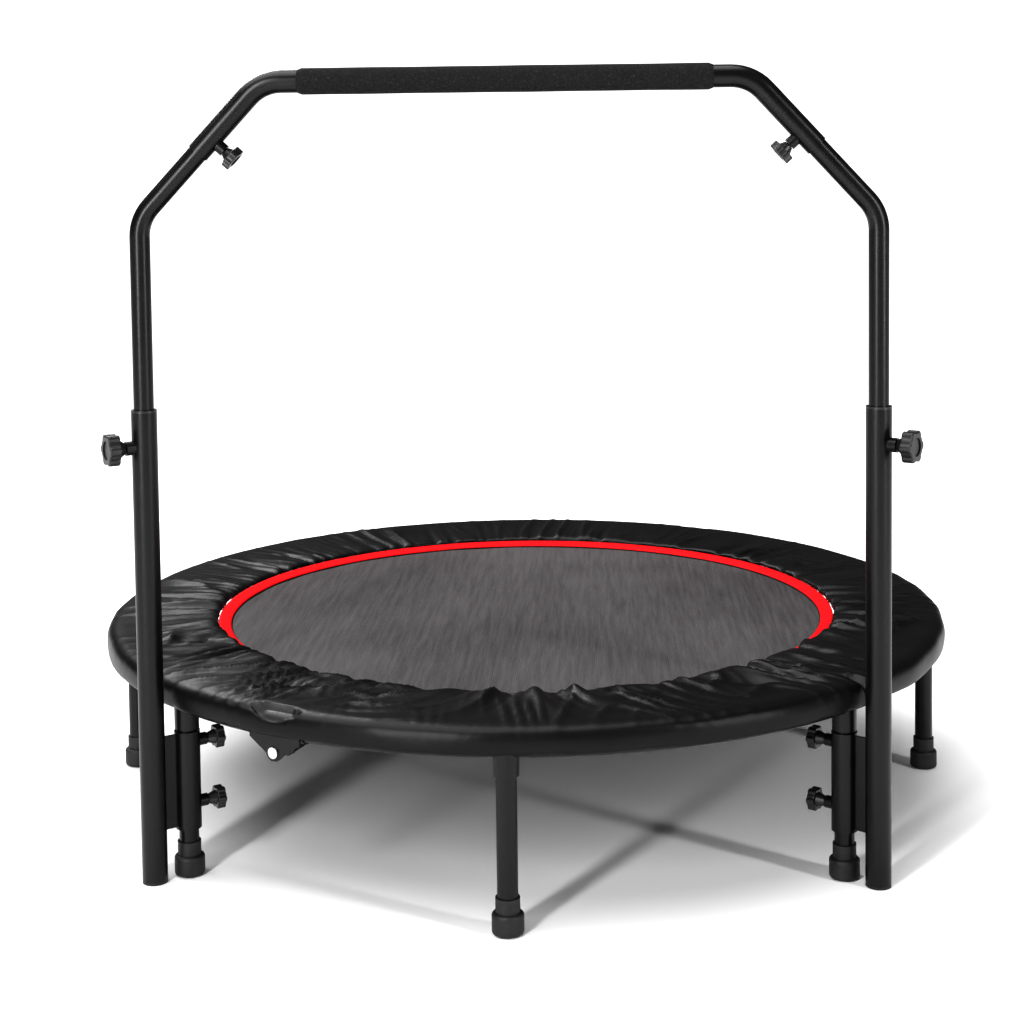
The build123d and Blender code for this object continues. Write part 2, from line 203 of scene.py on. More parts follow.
@dataclass(frozen=True)
class PaintFinish:
    """A baked powder coat: fine orange peel and a little dust."""

    name: str = "black_powder_coat"
    shade: float = 0.004
    rough: float = 0.30

    def build(self) -> bpy.types.Material:
        """Make the material."""
        shader = Shader(self.name)
        where = shader.place(False, (1, 1, 1))
        peel = shader.add("ShaderNodeTexNoise", Scale=700.0, Detail=3.0, Roughness=0.6)
        dust = shader.add("ShaderNodeTexNoise", Scale=34.0, Detail=6.0, Roughness=0.65)
        for node in (peel, dust):
            shader.link(where, node.inputs["Vector"])
        stops = [(0.3, grey(self.shade)), (0.75, grey(self.shade * 1.7, 0.05))]
        colour = shader.ramp(dust.outputs["Fac"], stops)
        shader.link(colour, shader.surface.inputs["Base Color"])
        gloss = shader.add("ShaderNodeMapRange")
        gloss.inputs["To Min"].default_value = self.rough - 0.05
        gloss.inputs["To Max"].default_value = self.rough + 0.09
        shader.link(dust.outputs["Fac"], gloss.inputs["Value"])
        shader.link(gloss.outputs["Result"], shader.surface.inputs["Roughness"])
        shader.link(shader.bump(peel.outputs["Fac"], 0.00006, 0.6), shader.surface.inputs["Normal"])
        shader.set(Specular_IOR_Level=0.34)
        return shader.material


@dataclass(frozen=True)
class MouldFinish:
    """A moulded black plastic or rubber, from satin to dull."""

    name: str
    shade: float
    rough: float
    grain: float

    def build(self) -> bpy.types.Material:
        """Make the material."""
        shader = Shader(self.name)
        where = shader.place(False, (1, 1, 1))
        grain = shader.add("ShaderNodeTexVoronoi", Scale=900.0)
        scuff = shader.add("ShaderNodeTexNoise", Scale=60.0, Detail=5.0)
        for node in (grain, scuff):
            shader.link(where, node.inputs["Vector"])
        colour = shader.ramp(scuff.outputs["Fac"], [(0.35, grey(self.shade)), (0.8, grey(self.shade * 2.0))])
        shader.link(colour, shader.surface.inputs["Base Color"])
        shader.link(shader.bump(grain.outputs["Distance"], self.grain, 0.5), shader.surface.inputs["Normal"])
        shader.set(Roughness=self.rough)
        return shader.material


@dataclass(frozen=True)
class ZincFinish:
    """Bright zinc plate with a faint spangle."""

    name: str = "zinc_plate"

    def build(self) -> bpy.types.Material:
        """Make the material."""
        shader = Shader(self.name)
        where = shader.place(False, (1, 1, 1))
        spangle = shader.add("ShaderNodeTexNoise", Scale=260.0, Detail=4.0)
        shader.link(where, spangle.inputs["Vector"])
        colour = shader.ramp(spangle.outputs["Fac"], [(0.3, (0.42, 0.43, 0.45)), (0.7, (0.7, 0.71, 0.72))])
        shader.link(colour, shader.surface.inputs["Base Color"])
        shader.link(shader.bump(spangle.outputs["Fac"], 0.0001, 0.3), shader.surface.inputs["Normal"])
        shader.set(Metallic=1.0, Roughness=0.28)
        return shader.material


@dataclass(frozen=True)
class FoamFinish:
    """Closed-cell foam rubber: black with pale pores."""

    name: str = "grip_foam"

    def build(self) -> bpy.types.Material:
        """Make the material."""
        shader = Shader(self.name)
        where = shader.place(False, (1, 1, 1))
        pores = shader.add("ShaderNodeTexVoronoi", Scale=520.0)
        cells = shader.add("ShaderNodeTexNoise", Scale=430.0, Detail=4.0, Roughness=0.7)
        for node in (pores, cells):
            shader.link(where, node.inputs["Vector"])
        stops = [(0.5, grey(0.008)), (0.62, grey(0.018)), (0.72, grey(0.05))]
        colour = shader.ramp(cells.outputs["Fac"], stops)
        shader.link(colour, shader.surface.inputs["Base Color"])
        skin = shader.bump(pores.outputs["Distance"], 0.0005, 0.9)
        shader.link(shader.bump(cells.outputs["Fac"], 0.0006, 0.7, skin), shader.surface.inputs["Normal"])
        shader.set(Roughness=0.85, Specular_IOR_Level=0.3)
        return shader.material


@dataclass(frozen=True)
class CoverFinish:
    """Black satin polyester: a tight weave with a soft sheen, and crush marks."""

    name: str = "cover_polyester"
    threads: float = 1500.0

    def build(self) -> bpy.types.Material:
        """Make the material."""
        shader = Shader(self.name)
        where = shader.place(False, (1, 1, 1))
        warp = shader.add("ShaderNodeTexWave", Scale=self.threads / 6, Distortion=0.4)
        weft = shader.add("ShaderNodeTexWave", bands_direction="Y", Scale=self.threads / 6, Distortion=0.4)
        crush = shader.add("ShaderNodeTexNoise", Scale=26.0, Detail=5.0, Roughness=0.6, Distortion=0.7)
        patch = shader.add("ShaderNodeTexNoise", Scale=5.0, Detail=3.0)
        for node in (warp, weft, crush, patch):
            shader.link(where, node.inputs["Vector"])
        weave = shader.add("ShaderNodeMath", operation="MAXIMUM")
        shader.link(warp.outputs["Fac"], weave.inputs[0])
        shader.link(weft.outputs["Fac"], weave.inputs[1])
        colour = shader.ramp(patch.outputs["Fac"], [(0.3, grey(0.0035, 0.05)), (0.7, grey(0.007, 0.08))])
        shader.link(colour, shader.surface.inputs["Base Color"])
        fine = shader.bump(weave.outputs["Value"], 0.00008, 0.35)
        shader.link(shader.bump(crush.outputs["Fac"], 0.0022, 0.32, fine), shader.surface.inputs["Normal"])
        shader.set(Roughness=0.38, Specular_IOR_Level=0.22)
        return shader.material


@dataclass(frozen=True)
class MatFinish:
    """Woven polypropylene tape: fine ribs along the cloth and slight streaks."""

    name: str = "mat_weave"
    dark: float = 0.040
    light: float = 0.082

    def build(self) -> bpy.types.Material:
        """Make the material."""
        shader = Shader(self.name)
        where = shader.place(False, (1, 1, 1))
        streak_place = shader.place(False, (150.0, 9.0, 1.0))
        streaks = shader.add("ShaderNodeTexNoise", Scale=1.0, Detail=5.0, Roughness=0.7)
        shader.link(streak_place, streaks.inputs["Vector"])
        ribs = shader.add("ShaderNodeTexWave", Scale=115.0, Distortion=0.3)
        picks = shader.add("ShaderNodeTexWave", bands_direction="Y", Scale=88.0, Distortion=0.3)
        cloud = shader.add("ShaderNodeTexNoise", Scale=3.2, Detail=2.0)
        for node in (ribs, picks, cloud):
            shader.link(where, node.inputs["Vector"])
        tone = shader.add("ShaderNodeMath", operation="MULTIPLY_ADD")
        shader.link(streaks.outputs["Fac"], tone.inputs[0])
        tone.inputs[1].default_value = 0.55
        weave = shader.add("ShaderNodeMath", operation="MULTIPLY")
        shader.link(ribs.outputs["Fac"], weave.inputs[0])
        shader.link(picks.outputs["Fac"], weave.inputs[1])
        shade = shader.add("ShaderNodeMath", operation="MULTIPLY")
        shader.link(cloud.outputs["Fac"], shade.inputs[0])
        shade.inputs[1].default_value = 0.45
        shader.link(shade.outputs["Value"], tone.inputs[2])
        colour = shader.ramp(tone.outputs["Value"],
                             [(0.35, grey(self.dark, 0.05)), (0.62, grey(self.light, 0.05))])
        shader.link(colour, shader.surface.inputs["Base Color"])
        fine = shader.bump(weave.outputs["Value"], 0.0004, 0.5)
        shader.link(shader.bump(streaks.outputs["Fac"], 0.0004, 0.25, fine), shader.surface.inputs["Normal"])
        shader.set(Roughness=0.62, Specular_IOR_Level=0.2)
        return shader.material


@dataclass(frozen=True)
class TapeFinish:
    """Woven tape sewn flat: a twill across its width, which reads the piece's UV map."""

    name: str
    dark: tuple[float, float, float]
    light: tuple[float, float, float]
    rough: float = 0.6

    def build(self) -> bpy.types.Material:
        """Make the material."""
        shader = Shader(self.name)
        where = shader.place(True, (1500.0, 14.0, 1.0))
        twill = shader.add("ShaderNodeTexWave", bands_direction="DIAGONAL", Scale=0.5, Distortion=0.5)
        worn = shader.add("ShaderNodeTexNoise", Scale=0.05, Detail=4.0)
        for node in (twill, worn):
            shader.link(where, node.inputs["Vector"])
        colour = shader.ramp(worn.outputs["Fac"], [(0.3, self.dark), (0.7, self.light)])
        shader.link(colour, shader.surface.inputs["Base Color"])
        shader.link(shader.bump(twill.outputs["Fac"], 0.0003, 0.4), shader.surface.inputs["Normal"])
        shader.set(Roughness=self.rough, Specular_IOR_Level=0.12)
        return shader.material


# ---------------------------------------------------------------- helpers
def deselect() -> None:
    """Nothing is selected or being edited."""
    if bpy.context.object and bpy.context.object.mode != "OBJECT":
        bpy.ops.object.mode_set(mode="OBJECT")
    bpy.ops.object.select_all(action="DESELECT")


def settle(piece: bpy.types.Object) -> bpy.types.Object:
    """Put a piece's place and size in its mesh."""
    deselect()
    piece.select_set(True)
    bpy.context.view_layer.objects.active = piece
    bpy.ops.object.transform_apply(location=True, rotation=True, scale=True)
    return piece


def apply_modifier(piece: bpy.types.Object, kind: str, **values: object) -> None:
    """Add a modifier and apply it.

    Args:
        piece: The mesh object.
        kind: The modifier's type name.
        values: Its settings.
    """
    deselect()
    piece.select_set(True)
    bpy.context.view_layer.objects.active = piece
    modifier = piece.modifiers.new(kind.lower(), kind)
    for key, value in values.items():
        setattr(modifier, key, value)
    bpy.ops.object.modifier_apply(modifier=modifier.name)


def dress(piece: bpy.types.Object, material: bpy.types.Material) -> None:
    """Give a piece its one material."""
    piece.data.materials.clear()
    piece.data.materials.append(material)


def ripple(rng: np.random.Generator, turns: np.ndarray, across: np.ndarray, counts: range,
           drift: float) -> np.ndarray:
    """A smooth random wave that closes round the ring.

    Args:
        rng: The seeded source of phases.
        turns: Angles, in radians.
        across: Place across the ring, from 0 to 1.
        counts: The waves' numbers round the ring.
        drift: How far a wave's phase moves across the ring, in radians.

    Returns:
        Values of about -1 to 1.
    """
    total = np.zeros_like(turns)
    for count in counts:
        phase, lean = rng.uniform(0, 2 * math.pi), rng.normal(0, drift)
        total += rng.normal() * np.cos(count * turns + phase + lean * across)
    return total / math.sqrt(len(counts))


def ring_sheet(name: str, points: np.ndarray, close_middle: bool = False) -> bpy.types.Object:
    """A mesh round the centre from rows of points.

    Args:
        name: The piece's name.
        points: An array of [turn, row, xyz], whose turns go once round.
        close_middle: Fill the hole in row 0 with a fan.

    Returns:
        The new object, smooth, with a UV map that has turns along U and rows along V.
    """
    turns, rows = points.shape[:2]
    bpy.ops.mesh.primitive_grid_add(x_subdivisions=turns, y_subdivisions=rows - 1, size=1.0)
    piece = bpy.context.object
    piece.name = piece.data.name = name
    flat = np.zeros(((turns + 1) * rows, 3), np.float32)
    looped = np.concatenate([points, points[:1]], axis=0)
    flat[:] = looped.transpose(1, 0, 2).reshape(-1, 3)
    piece.data.vertices.foreach_set("co", flat.ravel())
    piece.data.update()
    apply_modifier(piece, "WELD", merge_threshold=1e-6)
    if close_middle:
        mesh = bmesh.new()
        mesh.from_mesh(piece.data)
        inner = min(v.co.xy.length for v in mesh.verts)
        rim = [e for e in mesh.edges if e.is_boundary and all(v.co.xy.length < inner * 1.01 for v in e.verts)]
        filled = bmesh.ops.edgeloop_fill(mesh, edges=rim)
        bmesh.ops.poke(mesh, faces=filled["faces"])
        mesh.to_mesh(piece.data)
        mesh.free()
    for polygon in piece.data.polygons:
        polygon.use_smooth = True
    return piece


def face_up(piece: bpy.types.Object) -> None:
    """Turn an open sheet's faces over if they look down."""
    tilt = sum(p.normal.z * p.area for p in piece.data.polygons)
    if tilt < 0:
        piece.data.flip_normals()


def blend_halves(piece: bpy.types.Object) -> None:
    """Put a piece's placement into its mesh; a piece that crosses the fold line stays whole and does not bend
    between the two halves.

    Args:
        piece: The mesh.
    """
    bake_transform(piece)


# ---------------------------------------------------------------- spring cover
@dataclass
class SpringCover:
    """The ring of gathered cloth over the springs."""

    inner_r: float
    outer_r: float
    crown_z: float
    hem_z: float
    turns: int = 840
    gathers: int = 52
    puff: float = 11 * MM
    wrinkle: float = 7.5 * MM
    cloth: float = 0.7 * MM
    seed: int = 7
    slits: list[tuple[float, float, float, float]] = field(default_factory=list)
    slit_depth: float = 7 * MM
    overhang: float = 11 * MM
    overhang_deg: float = -91.0
    band_inner_r: float = 434 * MM
    band_outer_r: float = 453.5 * MM
    band_top_z: float = 238.4 * MM
    band_slope: float = 0.272

    def section(self) -> np.ndarray:
        """The smooth profile, from the inner hem over the crown to the turned-in outer hem.

        Returns:
            Rows of (radius, height), in metres.
        """
        inner, outer, crown, hem = self.inner_r, self.outer_r, self.crown_z, self.hem_z
        corners = [
            (inner + 26 * MM, crown - 14.5 * MM), (inner + 7 * MM, crown - 15 * MM),
            (inner + 2.2 * MM, crown - 14 * MM),
            (inner, crown - 8.0 * MM), (inner + 2.5 * MM, crown - 5.6 * MM),
            (inner + 9 * MM, crown - 4.6 * MM),
            (inner + 30 * MM, crown - 3.2 * MM), (inner + 75 * MM, crown - 2.2 * MM),
            (outer - 38 * MM, crown - 0.8 * MM), (outer - 17 * MM, crown - 0.6 * MM),
            (outer - 7.5 * MM, crown - 3.4 * MM), (outer - 2.4 * MM, crown - 9 * MM),
            (outer - 1.0 * MM, crown - 18 * MM), (outer - 1.0 * MM, hem + 4 * MM),
            (outer - 1.6 * MM, hem + 0.6 * MM), (outer - 4.4 * MM, hem + 0.5 * MM),
            (outer - 5.2 * MM, hem + 5 * MM),
        ]
        rows = []
        for here, there in zip(corners, corners[1:]):
            steps = max(1, round(math.dist(here, there) / (4.7 * MM)))
            rows += [tuple(a + (b - a) * k / steps for a, b in zip(here, there)) for k in range(steps)]
        line = np.array(rows + [corners[-1]])
        for _ in range(3):
            line[1:-1] = 0.25 * line[:-2] + 0.5 * line[1:-1] + 0.25 * line[2:]
        return line

    def build(self) -> bpy.types.Object:
        """Make the cloth."""
        rng = np.random.default_rng(self.seed)
        line = self.section()
        angle = np.linspace(-math.pi, math.pi, self.turns, endpoint=False)
        turn, radius = np.meshgrid(angle, line[:, 0], indexing="ij")
        height = np.broadcast_to(line[:, 1], turn.shape).copy()
        step = np.hypot(*np.diff(line, axis=0).T)
        along = np.concatenate([[0], np.cumsum(step)])
        lip = along[np.argmin(line[:, 0])]
        shoulder = along[np.argmax(line[:, 1] * (line[:, 0] > self.outer_r - 0.02))]
        across = np.broadcast_to(np.clip((along - lip) / (shoulder - lip), 0, 1), turn.shape)
        side = np.broadcast_to(np.clip((along - shoulder) / (along[-1] - shoulder), 0, 1), turn.shape)

        front = 0.5 + 0.5 * np.cos(turn + math.pi / 2)
        slack = 0.34 + 0.66 * np.clip(front * 1.35, 0, 1) ** 1.5
        slack = slack * (1 + 0.35 * ripple(rng, turn, across, range(3, 12), 1.0))
        lean = (0.35 + 2.6 * ripple(rng, turn, across, range(2, 7), 0.2)) * (0.4 + 0.9 * front)
        wander = 1.5 * ripple(rng, turn, across, range(5, 26), 0.5)
        phase = self.gathers * turn + 2.6 * wander + 4.0 * lean * across
        fade = (1 - across) ** 1.35 * np.clip(along / lip, 0, 1) ** 2
        puffs = np.abs(np.sin(phase / 2)) ** 0.8 - 0.55
        tucks = np.abs(np.sin(phase * 0.93 + 1.7 * wander + 2.0)) ** 1.2 - 0.5
        swell = 0.45 + 0.55 * np.clip(across / 0.13, 0, 1)
        lift = self.puff * slack * fade * swell * (puffs + 0.34 * tucks)

        long_phase = 31 * turn + 3.4 * ripple(rng, turn, across, range(4, 20), 0.7) + 3.4 * lean * across
        ridge = (1 - np.abs(np.sin(long_phase))) ** 2.6
        fine_phase = 44 * turn + 4.6 * ripple(rng, turn, across, range(6, 30), 1.1) - 2.2 * lean * across
        fine = (1 - np.abs(np.sin(fine_phase))) ** 2.2
        reach = np.sin(math.pi * np.clip(across * 0.96 + 0.01, 0, 1)) ** 0.55
        picked = np.clip(0.45 + 0.6 * ripple(rng, turn, across, range(5, 24), 2.0), 0, 1.3)
        fine_picked = np.clip(0.3 + 0.6 * ripple(rng, turn, across, range(9, 36), 3.0), 0, 1.2)
        creases = ridge * picked + 0.36 * fine * fine_picked
        lift = lift + self.wrinkle * reach * (0.5 + 0.7 * slack) * creases
        lift = lift - 1.5 * MM * np.sin(math.pi * across) * (1 + ripple(rng, turn, across, range(2, 9), 1.0))

        bulge = 0.9 * MM * np.sin(math.pi * np.clip(side * 1.1, 0, 1))
        out = bulge * ripple(rng, turn, side, range(9, 40), 0.8)
        drop = 0.8 * MM * side * ripple(rng, turn, side, range(7, 30), 0.3)
        over = 0.0062 * slack * fade * np.cos(phase / 2 + 0.6) * np.sign(np.sin(phase / 2))
        turn = turn + over + 0.004 * reach * ridge * picked * np.sign(lean)
        radius = radius + out + 1.3 * MM * fade * slack * np.sin(phase)
        height = height + lift + drop
        in_front = np.clip((np.cos(turn - math.radians(self.overhang_deg)) - 0.31) / 0.13, 0, 1)
        uneven = 1 + 0.3 * ripple(rng, turn, across, range(9, 40), 0.0)
        radius = radius - self.overhang * in_front * fade**2 * uneven
        sunk = self.sink(turn, radius, along)
        height = height * (1 - sunk) + (line[:, 1] - self.slit_depth) * sunk
        band_top = self.band_top_z + (radius - self.band_inner_r) * self.band_slope
        height = np.where(radius < self.band_outer_r, np.maximum(height, band_top), height)
        cloth = np.stack([radius * np.cos(turn), radius * np.sin(turn), height], axis=2)
        piece = ring_sheet("spring_cover", cloth)
        face_up(piece)
        apply_modifier(piece, "SOLIDIFY", thickness=self.cloth, offset=-1.0)
        return piece

    def sink(self, turn: np.ndarray, radius: np.ndarray, along: np.ndarray) -> np.ndarray:
        """Where the cloth drops into a flat dent at each slit.

        Args:
            turn: Angles.
            radius: Radii.
            along: Distance along the section of each row.

        Returns:
            1 inside a slit, 0 outside.
        """
        top = along < along[np.argmax(radius[0])]
        inside = np.zeros_like(turn)
        for centre, half_length, half_depth, inset in self.slits:
            gap = np.angle(np.exp(1j * (turn - math.radians(centre)))) * self.outer_r / half_length
            away = (radius - (self.outer_r - inset)) / half_depth
            reach = np.hypot(gap, away)
            inside = np.maximum(inside, np.clip((0.97 - reach) / 0.1, 0, 1) * top)
        return inside


# ---------------------------------------------------------------- mat
@dataclass
class JumpMat:
    """The woven mat with its black hem and coloured border tape."""

    radius: float
    top_z: float
    band_inner_r: float
    band_rise: float
    turns: int = 360

    def weave(self) -> bpy.types.Object:
        """Make the jumping cloth."""
        rng = np.random.default_rng(3)
        radii = np.linspace(0.012, self.radius, 44)
        angle = np.linspace(-math.pi, math.pi, self.turns, endpoint=False)
        turn, radius = np.meshgrid(angle, radii, indexing="ij")
        share = radius / self.radius
        height = self.top_z - 0.9 * MM - 1.2 * MM * (1 - share**2)
        height = height + 0.25 * MM * share**2 * ripple(rng, turn, share, range(8, 30), 1.0)
        cloth = np.stack([radius * np.cos(turn), radius * np.sin(turn), height], axis=2)
        piece = ring_sheet("jumping_mat", cloth, close_middle=True)
        face_up(piece)
        apply_modifier(piece, "SOLIDIFY", thickness=0.6 * MM, offset=-1.0)
        return piece

    def ring(self, name: str, profile: list[tuple[float, float]], waver: float,
             seed: int) -> bpy.types.Object:
        """Make a closed ring of tape.

        Args:
            name: The piece's name.
            profile: Its closed section, as (radius, height) in metres.
            waver: How much its height wavers.
            seed: For the waver.

        Returns:
            The new object.
        """
        rng = np.random.default_rng(seed)
        line = np.array(profile + profile[:1])
        angle = np.linspace(-math.pi, math.pi, self.turns * 2, endpoint=False)
        turn, radius = np.meshgrid(angle, line[:, 0], indexing="ij")
        wave = ripple(rng, turn, radius * 0, range(7, 40), 0.0)
        height = line[:, 1][None, :] + waver * wave
        return ring_sheet(name, np.stack([radius * np.cos(turn), radius * np.sin(turn), height], axis=2))

    def band(self) -> bpy.types.Object:
        """Make the border tape, which slopes up towards the springs."""
        low, high = self.band_inner_r, self.radius - 0.6 * MM
        base = self.top_z + 0.7 * MM
        top = [(low + (high - low) * k / 6, base + self.band_rise * k / 6 + 0.9 * MM) for k in range(7)]
        under = [(high + 0.3 * MM, base + self.band_rise - 0.2 * MM), (low - 0.4 * MM, base - 0.3 * MM)]
        return self.ring("border_band", top + under, 0.12 * MM, 11)

    def hem(self) -> bpy.types.Object:
        """Make the black webbing under the tape."""
        low, high, base = self.band_inner_r - 1.5 * MM, self.radius, self.top_z - 0.7 * MM
        profile = [
            (low, base), (low, base + 0.6 * MM), (low + 2 * MM, base + 1.0 * MM),
            (high, base + self.band_rise + 0.9 * MM), (high + 0.4 * MM, base + self.band_rise * 0.5),
            (high, base - 3.0 * MM), (high - 16 * MM, base - 2.6 * MM), (high - 17 * MM, base),
        ]
        return self.ring("mat_hem", profile[::-1], 0.05 * MM, 13)


# ---------------------------------------------------------------- springs
@dataclass
class SpringSet:
    """The coil springs between the mat and the frame tube."""

    start_r: float
    end_r: float
    height: float
    count: int = 36
    coil_r: float = 4.7 * MM
    wire_r: float = 1.05 * MM
    rounds: int = 30
    loop_r: float = 4.4 * MM

    def one(self) -> bpy.types.Object:
        """Model one spring along +X, from start to end."""
        deselect()
        body = self.end_r - self.start_r - 4 * self.loop_r - 2 * self.wire_r
        pitch = body / self.rounds
        bpy.ops.mesh.primitive_circle_add(vertices=6, radius=self.wire_r,
                                          location=(self.coil_r, 0, 0),
                                          rotation=(math.pi / 2, 0, 0))
        coil = settle(bpy.context.object)
        apply_modifier(coil, "SCREW", angle=2 * math.pi, screw_offset=pitch, iterations=self.rounds,
                       steps=12, render_steps=12, axis="Z", use_smooth_shade=True)
        first = self.start_r + 2 * self.loop_r
        turned = Matrix.Translation((first, 0, self.height)) @ Matrix.Rotation(math.pi / 2, 4, "Y")
        coil.data.transform(turned)
        loops = []
        for middle in (self.start_r + self.loop_r, self.end_r - self.loop_r):
            bpy.ops.mesh.primitive_torus_add(major_radius=self.loop_r, minor_radius=self.wire_r,
                                             major_segments=18, minor_segments=6,
                                             location=(middle, 0, self.height),
                                             rotation=(math.pi / 2, 0, 0))
            loops.append(settle(bpy.context.object))
        deselect()
        for part in (*loops, coil):
            part.select_set(True)
        bpy.context.view_layer.objects.active = coil
        bpy.ops.object.join()
        bpy.ops.object.shade_smooth()
        return bpy.context.object

    def build(self) -> list[bpy.types.Object]:
        """Copy the spring round each half and join each half's copies.

        Returns:
            The two halves' springs.
        """
        pattern = self.one()
        made = []
        for half, start in (("a", FOLD_DEG), ("b", FOLD_DEG + 180)):
            copies = []
            for k in range(self.count // 2):
                angle = math.radians(start + 180 / self.count * (2 * k + 1))
                copy = pattern.copy()
                copy.data = pattern.data.copy()
                copy.data.transform(Matrix.Rotation(angle, 4, "Z"))
                bpy.context.collection.objects.link(copy)
                copies.append(copy)
            deselect()
            for copy in copies:
                copy.select_set(True)
            bpy.context.view_layer.objects.active = copies[0]
            bpy.ops.object.join()
            copies[0].name = f"coil_springs_{half}"
            made.append(copies[0])
        bpy.data.objects.remove(pattern)
        return made


# ---------------------------------------------------------------- grip
@dataclass
class FoamGrip:
    """The foam sleeve on the bar."""

    low: Vector
    high: Vector
    bore_r: float = 14.1 * MM

    def build(self) -> bpy.types.Object:
        """Make the sleeve, a little slack and uneven along its length."""
        deselect()
        middle = (self.low + self.high) / 2
        radius, length = (self.high.z - self.low.z) / 2, self.high.x - self.low.x
        bpy.ops.mesh.primitive_cylinder_add(vertices=64, radius=radius, depth=length, location=middle,
                                            rotation=(0, math.pi / 2, 0))
        grip = settle(bpy.context.object)
        grip.name = grip.data.name = "foam_sleeve"
        mesh = bmesh.new()
        mesh.from_mesh(grip.data)
        ends = [f for f in mesh.faces if abs(f.normal.x) > 0.9]
        bmesh.ops.inset_individual(mesh, faces=ends, thickness=radius - self.bore_r, use_even_offset=True)
        for face in ends:
            inward = Vector((math.copysign(-6 * MM, face.normal.x), 0, 0))
            bmesh.ops.translate(mesh, verts=face.verts, vec=inward)
        sides = [e for e in mesh.edges if abs(e.verts[0].co.x - e.verts[1].co.x) > length * 0.9]
        bmesh.ops.subdivide_edges(mesh, edges=sides, cuts=60, use_grid_fill=True)
        for vertex in mesh.verts:
            along = vertex.co.x / length
            offset = vertex.co - Vector((vertex.co.x, middle.y, middle.z))
            if offset.length > self.bore_r + 1 * MM:
                swell = 0.985 + 0.010 * math.sin(along * 23) * math.sin(along * 9 + 1)
                vertex.co -= offset * (1 - swell)
        mesh.to_mesh(grip.data)
        mesh.free()
        apply_modifier(grip, "BEVEL", width=1.2 * MM, segments=3, angle_limit=math.radians(50))
        deselect()
        grip.select_set(True)
        bpy.context.view_layer.objects.active = grip
        bpy.ops.object.shade_smooth_by_angle(angle=math.radians(40))
        return grip


# ---------------------------------------------------------------- studio
@dataclass
class Studio:
    """The floor, the soft lights and the camera."""

    distance: float = 2.675
    azimuth_deg: float = -87.56
    eye_z: float = 0.917
    lens_mm: float = 63.9
    shift: tuple[float, float] = (-0.0096, -0.2399)
    roll_deg: float = -0.654
    tilt_deg: float = 3.59
    dim: float = 0.09

    def camera(self) -> None:
        """A nearly level camera in front of the handle."""
        turn = math.radians(self.azimuth_deg)
        data = bpy.data.cameras.new("camera")
        data.lens, data.sensor_width = self.lens_mm, 36.0
        data.shift_x, data.shift_y = self.shift
        data.clip_end = 50
        camera = bpy.data.objects.new("camera", data)
        spot = Vector((self.distance * math.cos(turn), self.distance * math.sin(turn), self.eye_z))
        tilt = Matrix.Rotation(math.radians(90 - self.tilt_deg), 4, "X")
        look = Matrix.Rotation(turn + math.pi / 2, 4, "Z") @ tilt
        roll = Matrix.Rotation(math.radians(self.roll_deg), 4, "Z")
        camera.matrix_world = Matrix.Translation(spot) @ look @ roll
        bpy.context.collection.objects.link(camera)
        bpy.context.scene.camera = camera

    def floor(self) -> None:
        """A flat pale floor."""
        deselect()
        bpy.ops.mesh.primitive_plane_add(size=24, location=(0, 0, -0.0005))
        floor = settle(bpy.context.object)
        floor.name = "floor"
        shader = Shader("floor_paint")
        shader.set(Base_Color=(0.93, 0.93, 0.93, 1), Roughness=0.9, Specular_IOR_Level=0.1)
        floor.data.materials.append(shader.material)

    def light(self, name: str, spot: tuple, aim: tuple, size: tuple[float, float], power: float) -> None:
        """Add a soft box.

        Args:
            name: The light's name.
            spot: Where it stands.
            aim: What it points at.
            size: Its width and height.
            power: In watts.
        """
        data = bpy.data.lights.new(name, "AREA")
        data.shape, data.size, data.size_y, data.energy = "RECTANGLE", size[0], size[1], power
        lamp = bpy.data.objects.new(name, data)
        lamp.location = spot
        lamp.rotation_euler = (Vector(aim) - Vector(spot)).to_track_quat("-Z", "Y").to_euler()
        bpy.context.collection.objects.link(lamp)

    def sun(self, name: str, toward: tuple[float, float, float], spread_deg: float, strength: float) -> None:
        """Add a broad distant light.

        Args:
            name: The light's name.
            toward: The direction in which it stands.
            spread_deg: How broad it looks.
            strength: Its strength.
        """
        data = bpy.data.lights.new(name, "SUN")
        data.angle, data.energy = math.radians(spread_deg), strength
        lamp = bpy.data.objects.new(name, data)
        lamp.rotation_euler = Vector(toward).to_track_quat("Z", "Y").to_euler()
        bpy.context.collection.objects.link(lamp)

    def sky(self) -> None:
        """A white surround that gives only a little light."""
        world = bpy.data.worlds.new("world")
        world.use_nodes = True
        nodes, links = world.node_tree.nodes, world.node_tree.links
        nodes["Background"].inputs["Color"].default_value = (1, 1, 1, 1)
        path = nodes.new("ShaderNodeLightPath")
        level = nodes.new("ShaderNodeMapRange")
        level.inputs["To Min"].default_value = self.dim
        level.inputs["To Max"].default_value = 0.96
        links.new(path.outputs["Is Camera Ray"], level.inputs["Value"])
        links.new(level.outputs["Result"], nodes["Background"].inputs["Strength"])
        bpy.context.scene.world = world

    def build(self) -> None:
        """Set the whole stage."""
        self.camera()
        self.floor()
        self.sky()
        self.sun("window", (-0.4, 0.05, 1.3), 66.0, 3.1)
        self.light("front_strip", (-1.5, -3.2, 1.5), (0, -0.3, 0.5), (0.25, 2.4), 80)
        self.light("side_strip", (2.6, -2.0, 1.4), (0, -0.3, 0.5), (0.2, 2.2), 42)
        self.light("back_box", (-1.5, 2.0, 2.4), (0.1, -0.2, 0.25), (1.3, 0.8), 30)
        bpy.context.scene.view_settings.view_transform = "Standard"
        bpy.context.scene.view_settings.look = "High Contrast"


